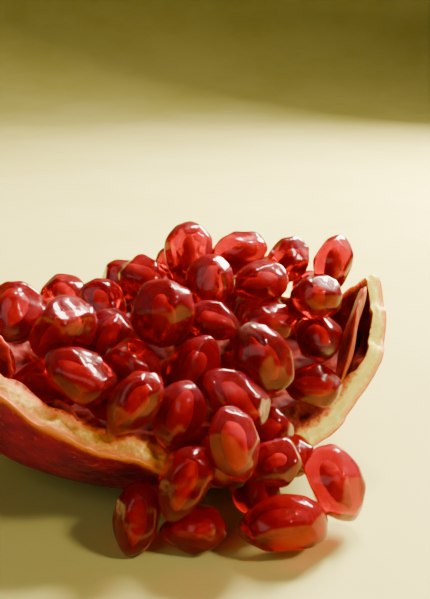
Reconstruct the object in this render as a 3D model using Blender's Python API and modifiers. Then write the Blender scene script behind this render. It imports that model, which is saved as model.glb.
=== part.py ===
"""An opened pomegranate: one boat-shaped piece of rind, lying on its outer skin and heaped with arils.

The rind is a superellipsoid bowl that ends at a wavy, broken rim. It is thick where it lies and thin
at its rim, and torn membranes stand on its inner wall. The arils are faceted eggs that lie in the
bowl, spill through its low front notch and reach the surface in front of it.

Metres, +Z up. The origin is the centre of the small flat that the rind rests on; -Y is the open
front, where the arils spill out, and +X is the pointed end of the rind.
"""

import math

import bmesh
import bpy
import numpy as np
from mathutils import Vector
from mathutils.bvhtree import BVHTree

MM = 0.001

# The rind's outer skin: half-lengths of the superellipsoid, and how square its section is.
HALF_LEFT = 37 * MM
HALF_RIGHT = 31 * MM
HALF_DEPTH = 27 * MM
HALF_HEIGHT = 26 * MM
SQUARENESS = 2.3
FLATTENED = 0.6 * MM  # how much of the bottom is pressed flat

# The broken rim's height along its way round. The angle runs from +X over +Y, in degrees.
RIM = (
    (0, 16.5),
    (8, 21.0),
    (15, 24.8),
    (23, 22.5),
    (36, 18.0),
    (90, 17.5),
    (130, 18.5),
    (158, 20.0),
    (180, 24.0),
    (205, 24.6),
    (228, 22.6),
    (238, 20.4),
    (247, 16.4),
    (259, 13.0),
    (270, 8.4),
    (283, 4.8),
    (300, 4.0),
    (318, 4.2),
    (334, 5.6),
    (347, 8.6),
)
RIM_WAVES = ((7, 0.35, 0.4), (16, 0.25, 2.1), (29, 0.14, 4.4))  # waves, height in mm, phase
RIM_STEPS = 64
WALL_STEPS = 11

FLOOR_THICKNESS = 10.0 * MM  # where the arils' cushion of pith lies on the rind
CUSHION_HEIGHT = 14 * MM  # above this height the rind is as thick as at its rim
RIM_THICKNESS = 3.3 * MM
TIP_THICKNESS = 2.0 * MM
TIP_ANGLE = 14  # degrees, where the rim is thinnest

# Torn membranes: centre, half-sizes (across, through, up), turn about Z and lean, in mm and degrees.
MEMBRANES = (
    ("right_wall", (24.8, 1.0, 16.6), (6.5, 0.9, 9.4), 80, 12),
    ("front_wall", (-12.8, -20.2, 14.8), (3.4, 0.8, 3.0), -32, -14),
    ("left_wall", (-24.4, -13.6, 20.0), (5.6, 0.9, 5.8), -4, -3),
)

# Arils that are seen: centre, length and width in mm, then the way the broad end points, as the
# angle from +X over +Y and the angle above level.
OUTER_ARILS = (
    ((-18.6, -7.4, 24.2), 9.4, 8.6, 100, 30),
    ((-14.4, -11.0, 23.6), 10.6, 9.2, -30, 40),
    ((-9.4, -18.0, 20.2), 9.8, 8.0, -20, -25),
    ((-8.4, -7.6, 21.0), 8.2, 7.2, 60, 60),
    ((-0.8, -10.4, 25.0), 9.8, 9.6, -70, 60),
    ((-3.8, 2.0, 26.4), 8.4, 7.4, 160, 20),
    ((2.2, 4.0, 29.8), 9.0, 7.8, 80, 70),
    ((-9.0, -1.0, 23.7), 8.2, 7.2, 120, 50),
    ((9.6, 7.0, 28.9), 8.8, 7.4, 5, 12),
    ((5.7, -2.4, 26.6), 8.4, 7.2, 30, 75),
    ((11.9, -1.4, 26.8), 8.0, 7.4, -20, 10),
    ((6.8, -6.4, 23.6), 7.2, 6.4, 180, 20),
    ((12.6, -6.6, 22.6), 8.6, 7.0, 20, 15),
    ((16.4, 5.4, 28.4), 7.6, 6.8, -60, 50),
    ((21.4, 1.6, 28.0), 8.8, 6.2, 0, 80),
    ((19.0, -2.6, 24.5), 8.2, 7.8, -90, 30),
    ((20.4, -1.6, 19.6), 8.0, 7.2, 95, 10),
    ((19.2, -6.6, 13.4), 8.4, 7.2, 20, -10),
    ((11.2, -11.0, 19.8), 10.6, 9.0, 30, -70),
    ((3.5, -12.8, 19.0), 9.4, 7.8, 200, -65),
    ((-4.1, -12.8, 19.6), 8.4, 7.6, 150, 30),
    ((-4.0, -20.6, 17.0), 8.8, 7.2, 10, 55),
    ((2.6, -20.6, 14.6), 8.6, 7.2, 60, 60),
    ((10.2, -16.4, 15.8), 9.2, 7.6, -10, -35),
    ((8.2, -21.0, 13.7), 9.4, 7.4, 170, 75),
    ((2.0, -23.6, 10.3), 9.6, 7.2, 20, 68),
    ((3.6, -24.2, 3.3), 8.2, 6.4, 0, 5),
    ((11.6, -21.0, 9.0), 7.8, 7.0, -90, 40),
    ((14.2, -24.2, 4.2), 11.0, 8.4, 10, 0),
    ((19.4, -17.4, 6.6), 10.0, 9.0, 160, 60),
    ((15.0, -15.6, 9.8), 6.8, 6.0, 40, 10),
    ((-3.0, -22.6, 5.6), 9.2, 6.6, 60, 72),
)

# Arils that lie underneath and on the far slope: centre in mm. They are all of middling size.
INNER_ARILS = (
    (-21.6, -0.4, 21.0),
    (-15.5, 5.5, 22.5),
    (-7.6, 8.4, 24.0),
    (-0.4, 11.6, 25.0),
    (6.8, 13.8, 23.2),
    (14.0, 11.4, 24.0),
    (20.4, 9.6, 21.6),
    (-18.0, 11.6, 17.4),
    (-11.4, 13.8, 17.6),
    (-3.6, 16.6, 18.4),
    (4.2, 18.0, 17.6),
    (11.4, 16.0, 17.4),
    (-23.4, -8.6, 18.2),
    (-14.0, -3.0, 17.6),
    (-28.6, -0.8, 18.6),
    (3.8, 3.6, 21.0),
    (12.0, 3.6, 20.4),
    (-15.8, -11.4, 16.0),
    (-7.6, -10.2, 14.6),
    (0.6, -7.0, 14.2),
    (9.4, -5.0, 14.6),
    (-8.0, 4.0, 17.0),
    (4.2, -18.8, 8.6),
    (2.6, 9.0, 17.0),
    (11.4, 7.4, 16.6),
    (9.6, -19.4, 4.0),
    (12.6, -15.0, 10.6),
)
INNER_LENGTH = 8.6
INNER_WIDTH = 7.6

ARIL_TAPER = 0.24  # how much narrower an aril is at its stalk end
ARIL_SIDES = 5
MERGE = 0.75 * MM  # corners nearer than this become one
CLEARANCE = 0.32 * MM  # between neighbours that would touch
RIND_CLEARANCE = 0.42 * MM  # a corner's, so that the faces between corners stay clear too
SURFACE = 0.04 * MM  # the arils in front stand this little above the surface
LONGEST_STEP = 0.3 * MM  # the most that one round moves an aril off the rind
SETTLING = 0.012 * MM  # how far each early round of spacing lets an aril sink
HOLD = 0.03  # the share of the way back to its own place that each early round moves an aril
SETTLING_ROUNDS = 90
MOST_ROUNDS = 700

SKIN_COLOUR = (0.42, 0.05, 0.03, 1)
ARIL_COLOUR = (0.52, 0.02, 0.03, 1)


def empty_scene():
    for old in list(bpy.data.objects):
        bpy.data.objects.remove(old, do_unlink=True)


def new_collection(name):
    collection = bpy.data.collections.new(name)
    bpy.context.scene.collection.children.link(collection)
    return collection


def new_object(name, bm, collection, material=None):
    mesh = bpy.data.meshes.new(name)
    bm.to_mesh(mesh)
    bm.free()
    mesh.shade_smooth()
    thing = bpy.data.objects.new(name, mesh)
    collection.objects.link(thing)
    if material:
        mesh.materials.append(material)
    return thing


def new_material(name, colour, roughness):
    material = bpy.data.materials.new(name)
    material.use_nodes = True
    shader = material.node_tree.nodes["Principled BSDF"]
    shader.inputs["Base Color"].default_value = colour
    shader.inputs["Roughness"].default_value = roughness
    material.diffuse_color = colour
    return material


def rim_height(angle):
    """The broken rim's height at an angle in radians: smooth steps between the RIM points, and waves."""
    degrees = math.degrees(angle) % 360
    points = RIM + ((RIM[0][0] + 360, RIM[0][1]),)
    height = 0.0
    for (start, low), (end, high) in zip(points, points[1:]):
        if start <= degrees <= end:
            share = (degrees - start) / (end - start)
            height = low + (high - low) * share * share * (3 - 2 * share)
    height += sum(size * math.sin(waves * angle + phase) for waves, size, phase in RIM_WAVES)
    return height * MM


def skin_point(angle, rise):
    """The superellipsoid's skin at an angle about Z and at a rise, both in radians, from the bottom."""
    power = 2 / SQUARENESS
    out = math.sin(rise) ** power
    up = HALF_HEIGHT * (1 - math.cos(rise) ** power)
    half_length = HALF_RIGHT if math.cos(angle) > 0 else HALF_LEFT
    return (
        out * half_length * math.cos(angle),
        out * HALF_DEPTH * math.sin(angle),
        max(up - FLATTENED, 0.0),
    )


def rise_at(height):
    """The rise at which the outer skin has this height."""
    share = 1 - (height + FLATTENED) / HALF_HEIGHT
    return math.acos(share ** (SQUARENESS / 2))


def rim_thickness(angle):
    """The rind's thickness at its rim: least at the pointed end."""
    away = abs((math.degrees(angle) - TIP_ANGLE + 180) % 360 - 180)
    share = min(away / 60, 1)
    return TIP_THICKNESS + (RIM_THICKNESS - TIP_THICKNESS) * share


def make_rind(collection, cutters):
    """Half a sphere, its rings moved onto the superellipsoid, and given its thickness by Solidify."""
    bm = bmesh.new()
    bmesh.ops.create_uvsphere(bm, u_segments=RIM_STEPS, v_segments=2 * WALL_STEPS, radius=1)
    above = [vert for vert in bm.verts if vert.co.z > 1e-4]
    bmesh.ops.delete(bm, geom=above, context="VERTS")
    foot = rise_at(0)
    weights = []
    for vert in bm.verts:
        angle = math.atan2(vert.co.y, vert.co.x)
        ring = round(math.acos(min(-vert.co.z, 1)) / (math.pi / 2) * WALL_STEPS)
        if ring == 0:
            vert.co = (0, 0, 0)
            weights.append(1.0)
            continue
        up_wall = (ring - 1) / (WALL_STEPS - 1)
        vert.co = skin_point(angle, foot + (rise_at(rim_height(angle)) - foot) * up_wall)
        thin = rim_thickness(angle) / FLOOR_THICKNESS
        weights.append(1 - (1 - thin) * min(vert.co.z / CUSHION_HEIGHT, 1) ** 0.8)
    rind = new_object("rind", bm, collection, new_material("rind skin", SKIN_COLOUR, 0.45))
    group = rind.vertex_groups.new(name="thickness")
    for index, weight in enumerate(weights):
        group.add([index], weight, "REPLACE")
    shell = rind.modifiers.new("shell", "SOLIDIFY")
    shell.thickness = FLOOR_THICKNESS
    shell.offset = -1
    shell.vertex_group = group.name
    for name, centre, half_sizes, turn, lean in MEMBRANES:
        join_membrane(rind, cutters, name, centre, half_sizes, turn, lean)
    return rind


def join_membrane(rind, cutters, name, centre, half_sizes, turn, lean):
    """A torn membrane is a flat ellipsoid that stands in the rind's inner wall and is joined to it."""
    bm = bmesh.new()
    bmesh.ops.create_uvsphere(bm, u_segments=20, v_segments=10, radius=MM)
    bmesh.ops.scale(bm, vec=half_sizes, verts=bm.verts)
    flap = new_object("membrane_" + name, bm, cutters)
    flap.location = Vector(centre) * MM
    flap.rotation_euler = (math.radians(lean), 0, math.radians(turn))
    flap.hide_render = True
    flap.display_type = "WIRE"
    union = rind.modifiers.new("join " + name, "BOOLEAN")
    union.operation = "UNION"
    union.solver = "EXACT"
    union.object = flap


def aril_body(length, width, seed):
    """An aril at the origin, its broad end up: an egg with flat sides where its neighbours pressed on it."""
    chance = np.random.default_rng(seed)
    bm = bmesh.new()
    bmesh.ops.create_icosphere(bm, subdivisions=2, radius=1)
    flatter = chance.uniform(0.86, 1.0)
    for vert in bm.verts:
        stalk = (1 - vert.co.z) / 2
        narrow = 1 - ARIL_TAPER * stalk**1.5
        vert.co.x *= narrow * width / 2 * MM
        vert.co.y *= narrow * flatter * width / 2 * MM
        vert.co.z *= length / 2 * MM
    start = chance.uniform(0, 2 * math.pi)
    for side in range(ARIL_SIDES):
        around = start + (side + chance.uniform(-0.22, 0.22)) * 2 * math.pi / ARIL_SIDES
        press_flat(bm, around, chance.uniform(-0.25, 0.35), chance.uniform(0.78, 0.88))
    press_flat(bm, chance.uniform(0, 2 * math.pi), chance.uniform(0.7, 1.2), chance.uniform(0.82, 0.9))
    return smoothed_hull(bm)


def smoothed_hull(bm):
    """Merges the slivers that the cuts leave and closes the corners that remain with their convex hull."""
    bmesh.ops.remove_doubles(bm, verts=bm.verts, dist=MERGE)
    corners = [vert.co.copy() for vert in bm.verts]
    bm.free()
    hull = bmesh.new()
    for corner in corners:
        hull.verts.new(corner)
    result = bmesh.ops.convex_hull(hull, input=hull.verts)
    bmesh.ops.delete(hull, geom=result["geom_interior"], context="VERTS")
    return hull


def press_flat(bm, around, up, share):
    """Cuts a facet that faces the direction (around, up), at this share of the body's reach that way."""
    facing = Vector((math.cos(up) * math.cos(around), math.cos(up) * math.sin(around), math.sin(up)))
    reach = max(vert.co.dot(facing) for vert in bm.verts)
    everything = bm.verts[:] + bm.edges[:] + bm.faces[:]
    bmesh.ops.bisect_plane(
        bm, geom=everything, plane_co=facing * reach * share, plane_no=facing, clear_outer=True
    )
    open_edges = [edge for edge in bm.edges if edge.is_boundary]
    bmesh.ops.holes_fill(bm, edges=open_edges, sides=0)


def make_aril(number, centre, length, width, around, up, collection):
    shade = 0.85 + 0.3 * ((number * 7) % 11) / 10
    colour = (ARIL_COLOUR[0] * shade, ARIL_COLOUR[1], ARIL_COLOUR[2], 1)
    name = f"aril_{number:02d}"
    aril = new_object(name, aril_body(length, width, number), collection, new_material(name, colour, 0.12))
    around, up = math.radians(around), math.radians(up)
    broad_end = Vector((math.cos(up) * math.cos(around), math.cos(up) * math.sin(around), math.sin(up)))
    aril.rotation_euler = broad_end.to_track_quat("Z", "Y").to_euler()
    aril.location = Vector(centre) * MM
    return aril


def make_arils(collection):
    """The arils of both lists, numbered on; the inner ones' ends point ways that follow the golden angle."""
    arils = []
    for centre, length, width, around, up in OUTER_ARILS:
        arils.append(make_aril(len(arils) + 1, centre, length, width, around, up, collection))
    for index, centre in enumerate(INNER_ARILS):
        around, up = index * 137.5 % 360, 20 + index * 61.8 % 50
        arils.append(
            make_aril(len(arils) + 1, centre, INNER_LENGTH, INNER_WIDTH, around, up, collection)
        )
    return arils


def even_directions(count):
    """Unit vectors spread evenly over half a sphere, followed by their opposites."""
    steps = np.arange(count)
    up = (steps + 0.5) / count
    around = steps * math.pi * (3 - math.sqrt(5))
    flat = np.sqrt(1 - up**2)
    half = np.stack([flat * np.cos(around), flat * np.sin(around), up], axis=1)
    return np.concatenate([half, -half])


def push_apart(centres, reach, directions):
    """Moves each pair of arils that are nearer than CLEARANCE apart. Two bodies are as far apart as the
    widest gap that any direction shows between them, so a gap found this way is never too large."""
    half = len(directions) // 2
    opposite = np.roll(reach, half, axis=1)
    along = centres @ directions.T
    gaps = (along - opposite)[None, :, :] - (along + reach)[:, None, :]
    best = gaps.argmax(axis=2)
    gap = np.take_along_axis(gaps, best[:, :, None], axis=2)[:, :, 0]
    near = np.triu(gap < CLEARANCE, 1)
    first, second = np.nonzero(near)
    step = directions[best[first, second]] * ((CLEARANCE - gap[first, second]) / 2)[:, None]
    np.subtract.at(centres, first, step)
    np.add.at(centres, second, step)
    return len(first)


def push_off_rind(centres, bodies, tree):
    """Moves each aril off the rind by its deepest corner, straight away from the rind's nearest point.
    A corner is inside the rind where the nearest face's normal points away from it."""
    moved = 0
    for index, body in enumerate(bodies):
        deepest, way = 0.0, None
        for corner in body + centres[index]:
            place, normal, _, distance = tree.find_nearest(Vector(corner))
            away = Vector(corner) - place
            inside = away.dot(normal) < -0.3 * distance
            depth = RIND_CLEARANCE + distance if inside else RIND_CLEARANCE - distance
            if depth > deepest:
                deepest, way = depth, normal if inside else away.normalized()
        if way is not None:
            centres[index] += np.array(way) * min(deepest, LONGEST_STEP)
            moved += 1
    return moved


def space_arils(arils, rind):
    """Lets the arils sink a little, then moves them apart and off the rind until all of them are clear."""
    graph = bpy.context.evaluated_depsgraph_get()
    tree = BVHTree.FromObject(rind, graph)
    bodies = []
    for aril in arils:
        turn = np.array(aril.rotation_euler.to_matrix())
        bodies.append(np.array([vert.co[:] for vert in aril.data.vertices]) @ turn.T)
    lowest = np.array([body[:, 2].min() for body in bodies])
    directions = even_directions(260)
    reach = np.stack([(body @ directions.T).max(axis=0) for body in bodies])
    places = np.array([aril.location[:] for aril in arils], dtype=float)
    centres = places.copy()
    for turn in range(MOST_ROUNDS):
        if turn < SETTLING_ROUNDS:
            centres += (places - centres) * HOLD
            centres[:, 2] -= SETTLING
        close_pairs = push_apart(centres, reach, directions)
        on_rind = push_off_rind(centres, bodies, tree)
        centres[:, 2] = np.maximum(centres[:, 2], SURFACE - lowest)
        if turn > SETTLING_ROUNDS and not close_pairs and not on_rind:
            break
    for aril, centre in zip(arils, centres):
        aril.location = np.round(centre, 6)


def main():
    empty_scene()
    pomegranate = new_collection("open_pomegranate")
    cutters = new_collection("cutters")
    rind = make_rind(pomegranate, cutters)
    arils = make_arils(pomegranate)
    bpy.context.view_layer.update()
    space_arils(arils, rind)


main()
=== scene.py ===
"""The open pomegranate: the looks of a broken piece of rind heaped with wet, ruby arils.

Every surface is a function of two parameters, worked out with numpy on a grid. Lengths that are named
in millimetres are multiplied by MM; everything else is in metres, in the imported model's own frame.
"""

import math

import bpy
import numpy as np
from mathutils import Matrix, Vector


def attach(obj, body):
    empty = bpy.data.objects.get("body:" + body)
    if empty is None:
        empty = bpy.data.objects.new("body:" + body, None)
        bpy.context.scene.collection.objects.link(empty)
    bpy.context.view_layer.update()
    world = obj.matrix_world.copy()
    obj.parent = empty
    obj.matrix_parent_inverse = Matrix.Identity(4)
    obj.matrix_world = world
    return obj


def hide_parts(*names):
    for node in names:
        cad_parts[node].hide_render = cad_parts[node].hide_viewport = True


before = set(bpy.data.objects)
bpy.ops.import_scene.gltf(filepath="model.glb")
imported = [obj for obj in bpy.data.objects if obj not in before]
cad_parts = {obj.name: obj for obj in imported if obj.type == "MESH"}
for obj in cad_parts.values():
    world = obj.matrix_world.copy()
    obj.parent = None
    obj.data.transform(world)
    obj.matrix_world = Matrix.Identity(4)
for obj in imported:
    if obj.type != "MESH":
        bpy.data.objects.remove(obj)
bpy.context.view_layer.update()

MM = 0.001
TURN = 2 * math.pi

# The rind's outer skin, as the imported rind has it: half-lengths of the superellipsoid, its squareness,
# and how much of its bottom is pressed flat.
HALF_LEFT = 37 * MM
HALF_RIGHT = 31 * MM
HALF_DEPTH = 27 * MM
HALF_HEIGHT = 26 * MM
SQUARENESS = 2.3
FLATTENED = 0.6 * MM

# The broken rim's height in mm along its way round. The angle runs from +X over +Y, in degrees.
RIM = (
    (0, 16.5),
    (8, 21.0),
    (15, 24.8),
    (23, 22.5),
    (36, 18.0),
    (90, 17.5),
    (130, 18.5),
    (158, 20.0),
    (180, 24.0),
    (205, 24.6),
    (228, 22.6),
    (238, 20.4),
    (247, 16.4),
    (259, 13.0),
    (270, 8.4),
    (283, 4.8),
    (300, 4.0),
    (318, 4.2),
    (334, 5.6),
    (347, 8.6),
    (360, 16.5),
)
RIM_WAVES = ((7, 0.35, 0.4), (16, 0.25, 2.1), (29, 0.14, 4.4))  # waves, height in mm, phase

FLOOR_THICKNESS = 10.0 * MM
CUSHION_HEIGHT = 14 * MM  # above this height the rind is as thick as at its rim
RIM_THICKNESS = 3.3 * MM
TIP_THICKNESS = 2.0 * MM
TIP_ANGLE = 14  # degrees, where the rim is thinnest

SKIN_INSET = 0.10 * MM  # how far the skin is drawn in, so that its bumps stay within the solid
CELL_SPACING = 4.6 * MM  # between the cells that arils leave in the inner wall
CELL_BANK = 3.2 * MM  # a cell is at full depth where its centre is this much nearer than the next one
CELL_DEPTH = 0.75 * MM

# Torn membranes: centre, half-sizes (across, through, up), turn about Z and lean, in mm and degrees.
MEMBRANES = (
    ("membrane_right", (24.8, 1.0, 16.6), (6.5, 0.9, 9.4), 80, 12),
    ("membrane_front", (-12.8, -20.2, 14.8), (3.4, 0.8, 3.0), -32, -14),
    ("membrane_left", (-24.4, -13.6, 20.0), (5.6, 0.9, 5.8), -4, -3),
)

# Flat facets that neighbours pressed on some arils: the way each faces, and its share of the reach.
PRESSED = {
    "aril_02": ((0.295, -0.349, 0.889, 0.80), (-0.5, -0.85, -0.1, 0.86)),
    "aril_03": ((-0.2, -0.95, 0.15, 0.86), (0.05, -0.62, 0.78, 0.82)),
    "aril_05": ((-0.35, -0.90, -0.2, 0.90), (0.6, -0.8, 0.1, 0.90)),
    "aril_11": ((0.35, -0.45, 0.82, 0.78),),
    "aril_13": ((0.50, -0.45, 0.74, 0.80),),
    "aril_14": ((0.62, -0.45, 0.64, 0.82),),
    "aril_15": ((0.70, -0.40, 0.59, 0.84),),
    "aril_19": ((-0.45, -0.85, 0.28, 0.86), (0.72, -0.62, 0.30, 0.80)),
    "aril_20": ((0.62, -0.70, 0.36, 0.74), (-0.66, -0.66, 0.36, 0.74)),
    "aril_24": ((0.10, -0.55, 0.83, 0.80), (0.20, -0.93, -0.30, 0.84)),
    "aril_28": ((0.05, -0.60, 0.80, 0.76),),
    "aril_30": ((-0.25, -0.62, 0.74, 0.80), (0.66, -0.70, 0.26, 0.82)),
}
STALK_LENGTH = 0.25 * MM  # the small tip at an aril's stalk end
STALK_BREADTH = 0.22  # radians
PRESSED_AREA = 9 * MM * MM  # what each of them counts for beside the solid's own facets

RIND_COLUMNS = 480
SKIN_ROWS = 64
EDGE_ROWS = 26
INNER_ROWS = 74
ARIL_COLUMNS = 72
ARIL_ROWS = 46
SEED_COLUMNS = 20
SEED_ROWS = 14
SEED_HALF_SIZES = (0.30, 0.16, 0.13)  # long, across and through, as shares of the aril's length
ARIL_SHARPNESS = 40  # the power of the norm that rounds an aril's edges
ARIL_SWELL = 0.10 * MM  # how far a skin stands proud of its solid, so that neighbours nearly touch


# ---------------------------------------------------------------- surfaces


def smooth(low, high, values):
    """0 below low, 1 above high and a smooth step between them."""
    share = np.clip((values - low) / (high - low), 0, 1)
    return share * share * (3 - 2 * share)


def unit(vectors):
    return vectors / np.maximum(np.linalg.norm(vectors, axis=-1, keepdims=True), 1e-12)


def ripple(points, wavelength, seed, waves=20):
    """The sum of plane waves in random directions, their lengths near wavelength; its spread is about 1."""
    chance = np.random.default_rng(seed)
    ways = unit(chance.normal(size=(waves, 3)))
    lengths = wavelength * chance.uniform(0.6, 1.6, waves)
    phases = chance.uniform(0, TURN, waves)
    turns = points @ (ways / lengths[:, None]).T * TURN + phases
    return np.sin(turns).sum(axis=-1) / math.sqrt(waves / 2)


def closed_mesh(name, rings, **values):
    """A closed body from rings of points, rows by columns; the first and the last row are each one point.
    values are numbers on the same rows and columns, and become attributes of the mesh."""
    rows, columns = rings.shape[:2]
    points = np.concatenate([rings[0, :1], rings[1:-1].reshape(-1, 3), rings[-1, :1]])
    column = np.arange(columns)
    following = (column + 1) % columns
    row = np.arange(rows - 3)[:, None] * columns + 1
    quads = np.stack(
        [row + column, row + following, row + columns + following, row + columns + column], axis=-1
    ).reshape(-1, 4)
    last = len(points) - 1
    base = last - columns
    first_fan = np.stack([np.zeros_like(column), 1 + following, 1 + column], axis=-1)
    last_fan = np.stack([np.full_like(column, last), base + column, base + following], axis=-1)
    fans = np.concatenate([first_fan, last_fan])
    volume = signed_volume(points, fans) + signed_volume(points, quads[:, [0, 1, 2]])
    volume += signed_volume(points, quads[:, [0, 2, 3]])
    if volume < 0:
        quads, fans = quads[:, ::-1], fans[:, ::-1]
    mesh = bpy.data.meshes.new(name)
    mesh.from_pydata(points.tolist(), [], quads.tolist() + fans.tolist())
    for label, numbers in values.items():
        flat = np.concatenate([numbers[0, :1], numbers[1:-1].reshape(-1), numbers[-1, :1]])
        mesh.attributes.new(label, "FLOAT", "POINT").data.foreach_set("value", flat.astype(np.float32))
    mesh.shade_smooth()
    return mesh


def signed_volume(points, triangles):
    """A sixth of the sum of the triangles' triple products; positive where the faces point outwards."""
    first, second, third = (points[triangles[:, corner]] for corner in range(3))
    return np.einsum("ij,ij->", first, np.cross(second, third)) / 6


def new_piece(name, mesh, material, slot, *replaced):
    piece = bpy.data.objects.new(name, mesh)
    bpy.context.scene.collection.objects.link(piece)
    mesh.materials.append(material)
    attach(piece, "root")
    if replaced:
        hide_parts(*replaced)
    return piece


# ---------------------------------------------------------------- the rind's shape


def rim_height(angle):
    """The rim's height: smooth steps between the RIM points, plus a few low waves."""
    marks = np.array(RIM, dtype=float)
    degrees = np.degrees(angle) % 360
    index = np.clip(np.searchsorted(marks[:, 0], degrees, side="right") - 1, 0, len(marks) - 2)
    share = (degrees - marks[index, 0]) / (marks[index + 1, 0] - marks[index, 0])
    step = share * share * (3 - 2 * share)
    height = marks[index, 1] + (marks[index + 1, 1] - marks[index, 1]) * step
    for waves, size, phase in RIM_WAVES:
        height = height + size * np.sin(waves * angle + phase)
    return height * MM


def rise_at(height):
    """The rise, in radians from the bottom, at which the skin has this height."""
    share = 1 - (height + FLATTENED) / HALF_HEIGHT
    return np.arccos(share ** (SQUARENESS / 2))


def skin_points(angle, rise):
    """The superellipsoid: out = sin(rise)^(2/n) times the half-length that way, up = 1 - cos(rise)^(2/n)."""
    power = 2 / SQUARENESS
    out = np.sin(rise) ** power
    up = HALF_HEIGHT * (1 - np.cos(rise) ** power) - FLATTENED
    half_length = np.where(np.cos(angle) > 0, HALF_RIGHT, HALF_LEFT)
    return np.stack(
        [out * half_length * np.cos(angle), out * HALF_DEPTH * np.sin(angle), np.maximum(up, 0)], axis=-1
    )


def grid_normals(points):
    """Outward normals of the skin: the cross product of its steps round and up."""
    round_step = np.roll(points, -1, axis=1) - np.roll(points, 1, axis=1)
    up_step = np.gradient(points, axis=0)
    return unit(np.cross(round_step, up_step))


def wall_thickness(angle, height):
    """The rim's thickness, growing towards the floor as height^0.8 falls to nothing."""
    away = np.abs((np.degrees(angle) - TIP_ANGLE + 180) % 360 - 180)
    rim = TIP_THICKNESS + (RIM_THICKNESS - TIP_THICKNESS) * np.minimum(away / 60, 1)
    thin = rim / FLOOR_THICKNESS
    return FLOOR_THICKNESS * (1 - (1 - thin) * np.minimum(height / CUSHION_HEIGHT, 1) ** 0.8)


def cell_pits(points, centres):
    """1 in the middle of each cell round the centres, falling to 0 on the ridge halfway to the next one."""
    distances = np.linalg.norm(points[..., None, :] - centres, axis=-1)
    distances.partition(1, axis=-1)
    return smooth(0.0, 1.0, (distances[..., 1] - distances[..., 0]) / CELL_BANK)


def make_rind(material):
    """Rows run from the bottom's middle up the skin, over the broken edge and down the inner wall."""
    angle = np.arange(RIND_COLUMNS) * TURN / RIND_COLUMNS
    foot = rise_at(0.0)
    top = rise_at(rim_height(angle))
    share = np.linspace(0, 1, SKIN_ROWS)[:, None]
    up_wall = 1 - (1 - share) ** 1.3
    outer = skin_points(angle[None, :], foot + (top[None, :] - foot) * up_wall)
    normals = grid_normals(outer)
    height = outer[..., 2]
    thickness = wall_thickness(angle[None, :], height)
    below_rim = np.linalg.norm(outer - outer[-1:], axis=-1)

    skin = outer - normals * (SKIN_INSET * smooth(0, 3 * MM, height))[..., None]
    dents = 0.22 * MM * ripple(outer, 11 * MM, 5) + 0.05 * MM * ripple(outer, 2.4 * MM, 6)
    skin = skin + normals * (np.minimum(dents, 0.1 * MM) * smooth(0.2 * MM, 4 * MM, height))[..., None]

    inner = outer - normals * thickness[..., None]
    chance = np.random.default_rng(11)
    picks = inner[5:-3].reshape(-1, 3)
    centres = spread_points(picks, CELL_SPACING, chance)
    pits = cell_pits(inner, centres) * smooth(0.5 * MM, 4 * MM, below_rim)
    wrinkles = 0.09 * MM * ripple(inner, 2.2 * MM, 8)
    pushed = CELL_DEPTH * pits + wrinkles
    inner = inner + normals * pushed[..., None]

    start, end = skin[-1], inner[-1]
    across = np.linspace(0, 1, EDGE_ROWS + 2)[1:-1, None]
    along = unit(outer[-1] - outer[-4])
    straight = start[None] + (end - start)[None] * across[..., None]
    crest = np.sin(math.pi * across) ** 0.6 * 0.25 * MM
    torn = 0.20 * MM * ripple(straight, 2.6 * MM, 21) + 0.10 * MM * ripple(straight, 0.9 * MM, 22)
    torn = torn * np.sin(math.pi * across) ** 0.4
    edge = straight + along[None] * (crest + torn - 0.15 * MM)[..., None]

    bottom = np.zeros((1, RIND_COLUMNS, 3))
    inner_floor = np.zeros((1, RIND_COLUMNS, 3)) + inner[0].mean(axis=0) * np.array([0, 0, 1.0])
    discs = np.array([0.25, 0.5, 0.75])[:, None, None]
    inside_rows = np.linspace(SKIN_ROWS - 1, 0, INNER_ROWS)
    lower = np.floor(inside_rows).astype(int)
    upper = np.minimum(lower + 1, SKIN_ROWS - 1)
    part = (inside_rows - lower)[:, None, None]
    inner_down = inner[lower] * (1 - part) + inner[upper] * part
    rings = np.concatenate(
        [
            bottom,
            skin[:1] * discs,
            skin,
            edge,
            inner_down,
            inner_down[-1:] * discs[::-1] + inner_floor * (1 - discs[::-1]),
            inner_floor,
        ]
    )
    rings[..., 2] = np.maximum(rings[..., 2], 0)

    drop = np.concatenate([np.repeat(below_rim[:1], 4, axis=0), below_rim, np.zeros_like(edge[..., 0])])
    edge_depth = np.linalg.norm(edge - start[None], axis=-1)
    inner_drop = below_rim[lower] * (1 - part[..., 0]) + below_rim[upper] * part[..., 0]
    inner_depth = np.linalg.norm(end - start, axis=-1) + inner_drop
    inner_pits = pits[lower] * (1 - part[..., 0]) + pits[upper] * part[..., 0]
    below = np.concatenate([drop, inner_drop, np.repeat(inner_drop[-1:], 4, axis=0)])
    no_depth = np.zeros_like(below[: 4 + SKIN_ROWS])
    floor_depth = np.repeat(inner_depth[-1:], 4, axis=0)
    depth = np.concatenate([no_depth, edge_depth, inner_depth, floor_depth])
    no_pits = np.zeros_like(below[: 4 + SKIN_ROWS + EDGE_ROWS])
    pit = np.concatenate([no_pits, inner_pits, np.zeros_like(below[:4])])
    mesh = closed_mesh("rind_flesh", rings, below_rim=below / MM, depth=depth / MM, pit=pit)
    return new_piece("rind_flesh", mesh, material, "rind", "rind")


def spread_points(points, spacing, chance):
    """Picks points at random, keeping those that are at least spacing from each one kept before."""
    kept = []
    for point in points[chance.permutation(len(points))[:2600]]:
        if not kept or np.min(np.linalg.norm(np.array(kept) - point, axis=1)) > spacing:
            kept.append(point)
    return np.array(kept)


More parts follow.
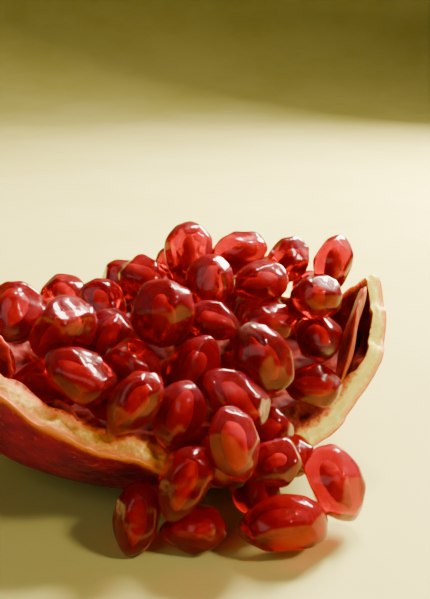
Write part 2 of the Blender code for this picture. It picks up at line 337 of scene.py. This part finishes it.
def make_membrane(name, centre, half_sizes, turn, lean, material):
    """A thin lens: across and up it is an ellipse with a torn edge, and it waves to both sides."""
    rows, columns = 30, 90
    theta = np.linspace(0, math.pi, rows)[:, None]
    phi = (np.arange(columns) * TURN / columns)[None, :]
    edge = 1 - 0.05 * np.abs(np.sin(5 * phi + 1)) - 0.04 * np.abs(np.sin(11 * phi + 2)) * np.sin(theta)
    across, through, up = (size * MM for size in half_sizes)
    x = across * np.sin(theta) ** 0.8 * np.cos(phi) * edge
    z = up * np.sin(theta) ** 0.8 * np.sin(phi) * edge
    y = through * 0.7 * np.cos(theta) * np.ones_like(phi)
    y = y + 0.35 * MM * np.sin(x / (1.6 * MM) + 1) * np.cos(z / (2.4 * MM))
    upright = np.stack([x, y, z], axis=-1)
    lean, turn = math.radians(lean), math.radians(turn)
    cosine, sine = math.cos(lean), math.sin(lean)
    about_x = np.array([[1, 0, 0], [0, cosine, -sine], [0, sine, cosine]])
    cosine, sine = math.cos(turn), math.sin(turn)
    about_z = np.array([[cosine, -sine, 0], [sine, cosine, 0], [0, 0, 1]])
    placed = upright @ (about_z @ about_x).T + np.array(centre) * MM
    nearness = np.sin(theta) * np.ones_like(phi)
    mesh = closed_mesh(name, placed, thin=nearness)
    return new_piece(name, mesh, material, "rind")


# ---------------------------------------------------------------- the arils' shape


def solid_of(node):
    """A solid's corners, each once, and its faces' normals, distances from the middle and areas."""
    mesh = node.data
    corners = np.empty(len(mesh.vertices) * 3, np.float32)
    mesh.vertices.foreach_get("co", corners)
    corners = corners.reshape(-1, 3).astype(float)
    mesh.calc_loop_triangles()
    triangles = np.empty(len(mesh.loop_triangles) * 3, np.int32)
    mesh.loop_triangles.foreach_get("vertices", triangles)
    triangles = corners[triangles.reshape(-1, 3)]
    single = np.unique(np.round(corners, 7), axis=0)
    middle = (single.min(axis=0) + single.max(axis=0)) / 2
    crosses = np.cross(triangles[:, 1] - triangles[:, 0], triangles[:, 2] - triangles[:, 0])
    areas = np.linalg.norm(crosses, axis=1) / 2
    good = areas > 1e-10
    normals = unit(crosses[good])
    distances = ((triangles[good, 0] - middle) * normals).sum(axis=1)
    return single, middle, normals, distances, areas[good]


def long_axis(corners, middle):
    """The direction in which the corners spread most, pointing to the broad end."""
    offsets = corners - middle
    axis = np.linalg.eigh(offsets.T @ offsets)[1][:, 2]
    along = offsets @ axis
    radial = np.linalg.norm(offsets - along[:, None] * axis, axis=1)
    return axis if (along * radial).sum() > 0 else -axis


def frame_about(axis):
    """Two directions square to the axis and to each other."""
    helper = np.array([0.0, 0.0, 1.0]) if abs(axis[2]) < 0.9 else np.array([1.0, 0.0, 0.0])
    side = unit(np.cross(helper, axis))
    return side, np.cross(axis, side)


def sphere_directions(axis, rows, columns):
    """Unit directions whose rows run from the axis to its opposite and whose columns run round it."""
    side, other = frame_about(axis)
    theta = np.linspace(0, math.pi, rows)[:, None, None]
    phi = (np.arange(columns) * TURN / columns)[None, :, None]
    return np.cos(theta) * axis + np.sin(theta) * (np.cos(phi) * side + np.sin(phi) * other)


def aril_radius(directions, normals, distances, areas):
    """How far the skin is from the middle: the p-norm of the faces' nearness, which rounds the edges."""
    nearness = np.maximum(directions @ normals.T, 0) / distances
    weights = areas / areas.sum() * 14
    return (weights * nearness**ARIL_SHARPNESS).sum(axis=-1) ** (-1 / ARIL_SHARPNESS)


def make_aril(number, node, material):
    """The radius about the middle in each direction, with soft dents and a small tip at the stalk end."""
    corners, middle, normals, distances, areas = solid_of(node)
    for *facing, share in PRESSED.get(node.name, ()):
        facing = unit(np.array(facing))
        normals = np.vstack([normals, facing])
        distances = np.append(distances, share * ((corners - middle) @ facing).max())
        areas = np.append(areas, PRESSED_AREA)
    axis = long_axis(corners, middle)
    directions = sphere_directions(axis, ARIL_ROWS, ARIL_COLUMNS)
    radius = aril_radius(directions, normals, distances, areas)
    from_stalk = np.arccos(np.clip(-directions @ axis, -1, 1))
    tip = np.exp(-((from_stalk / STALK_BREADTH) ** 2))
    shell = middle + directions * radius[..., None]
    radius = radius + 0.045 * MM * ripple(shell, 3.2 * MM, 100 + number)
    radius = radius + 0.006 * MM * ripple(shell, 0.9 * MM, 200 + number)
    radius = radius + STALK_LENGTH * tip
    shell = middle + directions * radius[..., None]
    reach = (corners.max(axis=0) - corners.min(axis=0) + 2 * ARIL_SWELL) / (
        shell.max(axis=(0, 1)) - shell.min(axis=(0, 1))
    )
    shell = (shell - middle) * reach + middle
    shell[..., 2] = np.maximum(shell[..., 2], 0.02 * MM)
    chance = np.random.default_rng(300 + number)
    ripeness = np.full(tip.shape, chance.uniform(0, 1))
    mesh = closed_mesh(node.name + "_skin", shell, tip=tip, ripeness=ripeness)
    new_piece(node.name + "_skin", mesh, material, "aril", node.name)
    return middle, axis, corners


def seed_rings(middle, axis, corners, number):
    """A tear-shaped seed inside its aril: an ellipsoid that narrows to the stalk end, with flat sides."""
    offsets = corners - middle
    length = (offsets @ axis).max() - (offsets @ axis).min()
    directions = sphere_directions(np.array([0.0, 0.0, 1.0]), SEED_ROWS, SEED_COLUMNS)
    side, other = frame_about(axis)
    long = directions[..., 2]
    narrow = 1 - 0.45 * ((1 - long) / 2) ** 1.3
    across = directions[..., 0] * narrow
    thick = directions[..., 1] * narrow
    half_long, half_across, half_thick = SEED_HALF_SIZES
    points = (
        long[..., None] * axis * half_long * length
        + across[..., None] * side * half_across * length
        + thick[..., None] * other * half_thick * length
    )
    points = points + unit(points) * (0.08 * MM * ripple(points, 1.6 * MM, 400 + number))[..., None]
    return middle - axis * 0.03 * length + points


# ---------------------------------------------------------------- materials


def add_node(tree, kind, **settings):
    node = tree.nodes.new(kind)
    for name, value in settings.items():
        setattr(node, name, value)
    return node


def feed(tree, source, target):
    """Links an output to an input, or sets the input where the source is a plain value."""
    if isinstance(source, bpy.types.NodeSocket):
        tree.links.new(source, target)
    else:
        target.default_value = source


def mix_colour(tree, factor, first, second):
    node = add_node(tree, "ShaderNodeMix", data_type="RGBA", clamp_factor=True)
    feed(tree, factor, node.inputs[0])
    feed(tree, first, node.inputs[6])
    feed(tree, second, node.inputs[7])
    return node.outputs[2]


def calculate(tree, operation, first, second):
    node = add_node(tree, "ShaderNodeMath", operation=operation)
    feed(tree, first, node.inputs[0])
    feed(tree, second, node.inputs[1])
    return node.outputs[0]


def between(tree, value, low, high, out_low=0.0, out_high=1.0):
    """A smooth step of a value from low to high, put out between out_low and out_high."""
    node = add_node(tree, "ShaderNodeMapRange", interpolation_type="SMOOTHSTEP", clamp=True)
    feed(tree, value, node.inputs["Value"])
    for name, number in (("From Min", low), ("From Max", high), ("To Min", out_low), ("To Max", out_high)):
        node.inputs[name].default_value = number
    return node.outputs["Result"]


def attribute(tree, name):
    return add_node(tree, "ShaderNodeAttribute", attribute_name=name).outputs["Fac"]


def object_place(tree):
    return add_node(tree, "ShaderNodeTexCoord").outputs["Object"]


def noise(tree, place, size, detail=4.0, roughness=0.55, distortion=0.0):
    """Noise whose features are about size metres across."""
    node = add_node(tree, "ShaderNodeTexNoise")
    feed(tree, place, node.inputs["Vector"])
    node.inputs["Scale"].default_value = 1 / size
    node.inputs["Detail"].default_value = detail
    node.inputs["Roughness"].default_value = roughness
    node.inputs["Distortion"].default_value = distortion
    return node.outputs["Fac"]


def mottle_group():
    """A mask of blotches: noise, raised against a threshold."""
    group = bpy.data.node_groups.new("mottle", "ShaderNodeTree")
    face = group.interface
    face.new_socket("Place", in_out="INPUT", socket_type="NodeSocketVector")
    face.new_socket("Scale", in_out="INPUT", socket_type="NodeSocketFloat")
    face.new_socket("Low", in_out="INPUT", socket_type="NodeSocketFloat")
    face.new_socket("High", in_out="INPUT", socket_type="NodeSocketFloat")
    face.new_socket("Mask", in_out="OUTPUT", socket_type="NodeSocketFloat")
    start = add_node(group, "NodeGroupInput")
    end = add_node(group, "NodeGroupOutput")
    cloud = add_node(group, "ShaderNodeTexNoise")
    cloud.inputs["Detail"].default_value = 5
    cloud.inputs["Roughness"].default_value = 0.62
    group.links.new(start.outputs["Place"], cloud.inputs["Vector"])
    group.links.new(start.outputs["Scale"], cloud.inputs["Scale"])
    step = add_node(group, "ShaderNodeMapRange", interpolation_type="SMOOTHSTEP", clamp=True)
    group.links.new(cloud.outputs["Fac"], step.inputs["Value"])
    group.links.new(start.outputs["Low"], step.inputs["From Min"])
    group.links.new(start.outputs["High"], step.inputs["From Max"])
    group.links.new(step.outputs["Result"], end.inputs["Mask"])
    return group


MOTTLE = mottle_group()


def mottle(tree, place, size, low, high):
    node = add_node(tree, "ShaderNodeGroup", node_tree=MOTTLE)
    feed(tree, place, node.inputs["Place"])
    node.inputs["Scale"].default_value = 1 / size
    node.inputs["Low"].default_value = low
    node.inputs["High"].default_value = high
    return node.outputs["Mask"]


def new_material(name):
    material = bpy.data.materials.new(name)
    material.use_nodes = True
    tree = material.node_tree
    return material, tree, tree.nodes["Principled BSDF"]


def set_values(shader, **values):
    for name, value in values.items():
        shader.inputs[name.replace("_", " ")].default_value = value


def bump(tree, shader, height, distance, strength=1.0):
    node = add_node(tree, "ShaderNodeBump")
    node.inputs["Distance"].default_value = distance
    node.inputs["Strength"].default_value = strength
    tree.links.new(height, node.inputs["Height"])
    tree.links.new(node.outputs["Normal"], shader.inputs["Normal"])


def aril_material():
    """Wet jelly: clear red flesh that darkens with depth, under a glossy skin with faint ribs and beads."""
    material, tree, shader = new_material("aril jelly")
    place = object_place(tree)
    ripe = attribute(tree, "ripeness")
    cloud = mottle(tree, place, 3 * MM, 0.35, 0.7)
    fresh = mix_colour(tree, cloud, (0.84, 0.035, 0.075, 1), (0.92, 0.08, 0.12, 1))
    deep = mix_colour(tree, cloud, (0.60, 0.02, 0.04, 1), (0.76, 0.05, 0.08, 1))
    flesh = mix_colour(tree, ripe, fresh, deep)
    pale = mix_colour(tree, attribute(tree, "tip"), flesh, (0.98, 0.72, 0.55, 1))
    tree.links.new(pale, shader.inputs["Base Color"])
    rough = noise(tree, place, 1.2 * MM, 3)
    tree.links.new(between(tree, rough, 0.35, 0.7, 0.12, 0.24), shader.inputs["Roughness"])
    ribs = noise(tree, place, 1.4 * MM, 3, 0.5, 0.8)
    beads = calculate(tree, "MULTIPLY", bead_mask(tree, place, 0.9 * MM), 1.8)
    bump(tree, shader, calculate(tree, "ADD", ribs, beads), 0.10 * MM, 0.4)
    set_values(shader, IOR=1.28, Transmission_Weight=0.91, Coat_Weight=0.28, Coat_Roughness=0.03)
    set_values(shader, Specular_IOR_Level=0.15, Specular_Tint=(1.0, 0.22, 0.24, 1))
    set_values(shader, Subsurface_Weight=1.0, Subsurface_Scale=0.003)
    shader.inputs["Subsurface Radius"].default_value = (1.0, 0.12, 0.08)
    volume = add_node(tree, "ShaderNodeVolumeAbsorption")
    volume.inputs["Color"].default_value = (0.86, 0.033, 0.23, 1)
    volume.inputs["Density"].default_value = 1250
    tree.links.new(volume.outputs["Volume"], tree.nodes["Material Output"].inputs["Volume"])
    return material


def bead_mask(tree, place, spacing):
    """Small round beads of juice: raised where a point of the scatter is near and the noise lets it be."""
    scatter = add_node(tree, "ShaderNodeTexVoronoi", feature="F1")
    feed(tree, place, scatter.inputs["Vector"])
    scatter.inputs["Scale"].default_value = 1 / spacing
    dome = between(tree, scatter.outputs["Distance"], 0.05, 0.30, 1.0, 0.0)
    chosen = between(tree, noise(tree, place, 3.5 * MM, 2), 0.54, 0.62)
    return calculate(tree, "MULTIPLY", dome, chosen)


def seed_material():
    """Woody and stained red by the flesh, paler in blotches, with fine fibres."""
    material, tree, shader = new_material("seed")
    place = object_place(tree)
    cloud = mottle(tree, place, 2 * MM, 0.35, 0.65)
    tree.links.new(
        mix_colour(tree, cloud, (0.44, 0.038, 0.045, 1), (0.65, 0.10, 0.08, 1)), shader.inputs["Base Color"]
    )
    bump(tree, shader, noise(tree, place, 0.4 * MM, 3), 0.08 * MM, 0.6)
    set_values(shader, Roughness=0.55, Subsurface_Weight=0.4, Subsurface_Scale=0.001)
    return material


def rind_material():
    """Red leathery skin, orange close under the broken edge, ochre flesh on the edge that turns cream
    towards +X as painted back light, and dark red inside: juice stain with painted shade, darkest in the
    cells.
    """
    material, tree, shader = new_material("rind")
    place = object_place(tree)
    drop = attribute(tree, "below_rim")
    depth = attribute(tree, "depth")
    blotches = mottle(tree, place, 6 * MM, 0.36, 0.64)
    specks = mottle(tree, place, 0.8 * MM, 0.60, 0.70)
    fine = mottle(tree, place, 0.6 * MM, 0.38, 0.66)
    streaks = mottle(tree, place, 2.2 * MM, 0.40, 0.66)

    skin = mix_colour(tree, blotches, (0.085, 0.001, 0.020, 1), (0.21, 0.003, 0.034, 1))
    skin = mix_colour(tree, specks, skin, (0.38, 0.04, 0.03, 1))
    wander = calculate(tree, "MULTIPLY", noise(tree, place, 4 * MM, 4), 3.0)
    near = between(tree, calculate(tree, "ADD", drop, wander), 1.2, 3.6, 1.0, 0.0)
    blush = mix_colour(tree, fine, (0.42, 0.015, 0.016, 1), (0.60, 0.09, 0.02, 1))
    skin = mix_colour(tree, near, skin, blush)

    wavy_drop = calculate(tree, "ADD", drop, calculate(tree, "MULTIPLY", wander, 0.4))
    lip = between(tree, wavy_drop, 0.6, 1.9, 1.0, 0.0)
    skin = mix_colour(tree, lip, skin, (0.66, 0.21, 0.03, 1))

    ochre = mix_colour(tree, fine, (0.54, 0.26, 0.018, 1), (0.78, 0.52, 0.08, 1))
    ochre = mix_colour(tree, streaks, ochre, (0.42, 0.16, 0.012, 1))
    # Painted light: the cut flesh goes from ochre on the left to bright cream towards +X, as painted back
    # light on that side.
    cream = mix_colour(tree, fine, (0.98, 0.84, 0.06, 1), (1.0, 0.95, 0.15, 1))
    across = add_node(tree, "ShaderNodeSeparateXYZ")
    tree.links.new(place, across.inputs["Vector"])
    right = between(tree, across.outputs["X"], 4 * MM, 22 * MM)
    cut = mix_colour(tree, right, ochre, cream)
    rim_line = between(tree, calculate(tree, "ADD", depth, calculate(tree, "MULTIPLY", fine, 0.3)), 0.5, 1.2)
    # The outer line is painted brighter towards +X too, as painted back light.
    outer_line = mix_colour(tree, right, (0.56, 0.15, 0.012, 1), (0.86, 0.52, 0.08, 1))
    cut = mix_colour(tree, rim_line, outer_line, cut)
    # Partly juice stain, partly painted shade: the inner wall is dark red, and darker still in the cells, as
    # painted shade of the hollow.
    pith = mix_colour(tree, fine, (0.17, 0.008, 0.008, 1), (0.26, 0.028, 0.012, 1))
    stain_and_painted_shade = mix_colour(tree, attribute(tree, "pit"), pith, (0.11, 0.004, 0.004, 1))
    inwards = calculate(tree, "ADD", depth, calculate(tree, "MULTIPLY", fine, 0.5))
    flesh = mix_colour(tree, between(tree, inwards, 2.2, 2.9), cut, (0.66, 0.20, 0.03, 1))
    flesh = mix_colour(tree, between(tree, inwards, 2.8, 3.6), flesh, stain_and_painted_shade)
    bare = between(tree, calculate(tree, "ADD", depth, calculate(tree, "MULTIPLY", fine, 0.15)), 0.18, 0.42)
    tree.links.new(mix_colour(tree, bare, skin, flesh), shader.inputs["Base Color"])
    tree.links.new(between(tree, bare, 0, 1, 0.34, 0.6), shader.inputs["Roughness"])
    grain = calculate(tree, "ADD", noise(tree, place, 0.7 * MM, 5), noise(tree, place, 3 * MM, 3))
    bump(tree, shader, grain, 0.25 * MM, 0.55)
    set_values(shader, Subsurface_Weight=0.3, Subsurface_Scale=0.0012, Specular_IOR_Level=0.12)
    shader.inputs["Subsurface Radius"].default_value = (1.0, 0.35, 0.15)
    return material


def membrane_material():
    """Thin torn skin: dark red in streaks, lighter along its torn edge, with a fine grain."""
    material, tree, shader = new_material("membrane")
    place = object_place(tree)
    streaks = mottle(tree, place, 2.0 * MM, 0.38, 0.62)
    body = mix_colour(tree, streaks, (0.11, 0.004, 0.004, 1), (0.26, 0.016, 0.008, 1))
    edge = between(tree, attribute(tree, "thin"), 0.86, 1.0)
    tree.links.new(mix_colour(tree, edge, body, (0.24, 0.018, 0.008, 1)), shader.inputs["Base Color"])
    bump(tree, shader, noise(tree, place, 0.6 * MM, 5), 0.2 * MM, 0.6)
    set_values(shader, Roughness=0.45, Specular_IOR_Level=0.15)
    set_values(shader, Subsurface_Weight=0.6, Subsurface_Scale=0.002)
    shader.inputs["Subsurface Radius"].default_value = (1.0, 0.3, 0.12)
    return material


def floor_material():
    """Dull yellow in two close shades, and matt."""
    material, tree, shader = new_material("pale table")
    place = object_place(tree)
    cloud = mottle(tree, place, 60 * MM, 0.3, 0.7)
    tree.links.new(
        mix_colour(tree, cloud, (0.40, 0.36, 0.08, 1), (0.45, 0.41, 0.11, 1)), shader.inputs["Base Color"]
    )
    set_values(shader, Roughness=0.7, Specular_IOR_Level=0.1)
    return material


# ---------------------------------------------------------------- the stage


def make_floor():
    """A flat sheet that curves up behind the object and then stands upright."""
    half = 0.9
    depth = np.concatenate([np.linspace(-0.7, 0.45, 12), 0.45 + 0.35 * np.sin(np.linspace(0.1, 1.5, 12))])
    rise = np.concatenate([np.zeros(12), 0.35 * (1 - np.cos(np.linspace(0.1, 1.5, 12)))])
    depth = np.append(depth, depth[-1])
    rise = np.append(rise, 1.2)
    across = np.array([-half, half])
    points = np.stack(np.broadcast_arrays(across[None], depth[:, None], rise[:, None]), axis=-1)
    rows = np.arange(len(depth) - 1)[:, None] * 2
    quads = rows + np.array([[0, 1, 3, 2]])
    mesh = bpy.data.meshes.new("table")
    mesh.from_pydata((points.reshape(-1, 3) - np.array([0, 0, 0.02 * MM])).tolist(), [], quads.tolist())
    mesh.shade_smooth()
    mesh.materials.append(floor_material())
    table = bpy.data.objects.new("table", mesh)
    bpy.context.scene.collection.objects.link(table)


def make_light(name, place, aim, power, size, colour):
    light = bpy.data.lights.new(name, "AREA")
    light.energy = power
    light.size = size
    light.color = colour
    lamp = bpy.data.objects.new(name, light)
    bpy.context.scene.collection.objects.link(lamp)
    lamp.location = place
    lamp.visible_camera = False
    lamp.rotation_euler = (Vector(aim) - Vector(place)).to_track_quat("-Z", "Y").to_euler()


def make_camera():
    """It looks along +Y and 18 degrees down, from in front of the heap and above it."""
    camera = bpy.data.cameras.new("camera")
    camera.sensor_width = 36
    camera.lens = 51.09
    camera.clip_start = 0.005
    holder = bpy.data.objects.new("camera", camera)
    bpy.context.scene.collection.objects.link(holder)
    holder.location = (0.006, -0.112, 0.0602)
    holder.rotation_euler = (math.radians(90 - 18), 0, 0)
    bpy.context.scene.camera = holder


def make_world():
    world = bpy.data.worlds.new("room")
    bpy.context.scene.world = world
    world.use_nodes = True
    background = world.node_tree.nodes["Background"]
    background.inputs["Color"].default_value = (1.0, 0.93, 0.80, 1)
    background.inputs["Strength"].default_value = 0.10


# ---------------------------------------------------------------- the whole

jelly = aril_material()
torn_skin = membrane_material()
make_rind(rind_material())
for name, centre, half_sizes, turn, lean in MEMBRANES:
    make_membrane(name, centre, half_sizes, turn, lean, torn_skin)

seed_kind = seed_material()
aril_nodes = sorted(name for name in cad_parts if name.startswith("aril_"))
for number, name in enumerate(aril_nodes):
    middle, axis, corners = make_aril(number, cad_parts[name], jelly)
    rings = seed_rings(middle, axis, corners, number)
    new_piece(name + "_seed", closed_mesh(name + "_seed", rings), seed_kind, "aril")

make_floor()
make_camera()
make_world()
centre_of_heap = (0.002, -0.004, 0.014)
make_light("window", (0.20, 0.24, 0.20), centre_of_heap, 12.5, 0.14, (1.0, 0.90, 0.70))
make_light("key", (0.078, 0.159, 0.326), centre_of_heap, 4.8, 0.08, (1.0, 0.92, 0.76))
make_light("side", (0.24, -0.14, 0.24), centre_of_heap, 1.0, 0.05, (1.0, 0.92, 0.76))
make_light("fill", (-0.24, -0.30, 0.26), centre_of_heap, 0.6, 0.30, (1.0, 0.95, 0.88))
